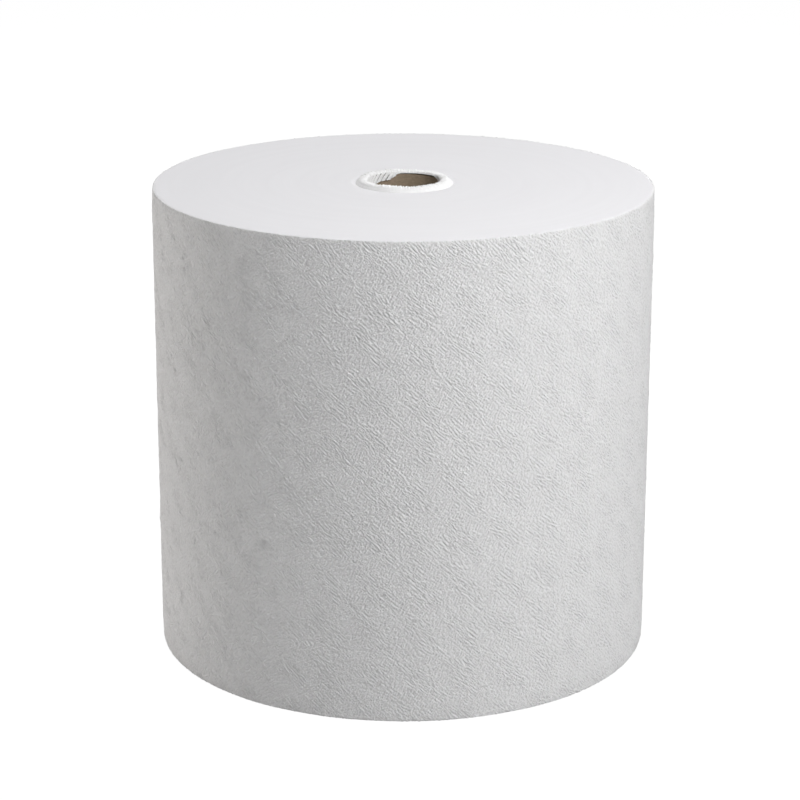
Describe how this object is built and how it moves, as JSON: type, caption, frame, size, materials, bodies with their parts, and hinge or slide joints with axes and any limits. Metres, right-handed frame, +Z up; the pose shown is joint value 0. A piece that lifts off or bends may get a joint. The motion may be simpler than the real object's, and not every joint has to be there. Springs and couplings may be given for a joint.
{
  "type": "roll of cleaning wipers",
  "caption": "Wide roll of white creped cleaning wipers wound on a cardboard tube, standing on its end, with the first turns proud round the bore.",
  "frame": {"origin": "centre of the lower end, on the surface that the roll stands on", "axes": "+Z up along the roll's axis; -Y faces the viewer; the tail is on the back"},
  "size_m": [0.3324, 0.3326, 0.3184],
  "materials": {
    "wiper": "matte, creped and crinkled all over, soft cut edges at the ends",
    "core": "matte brown fibre board, wound in a spiral"
  },
  "bodies": {
    "root": {"wiper_roll": "wiper", "core_tube": "core"}
  },
  "joints": []
}
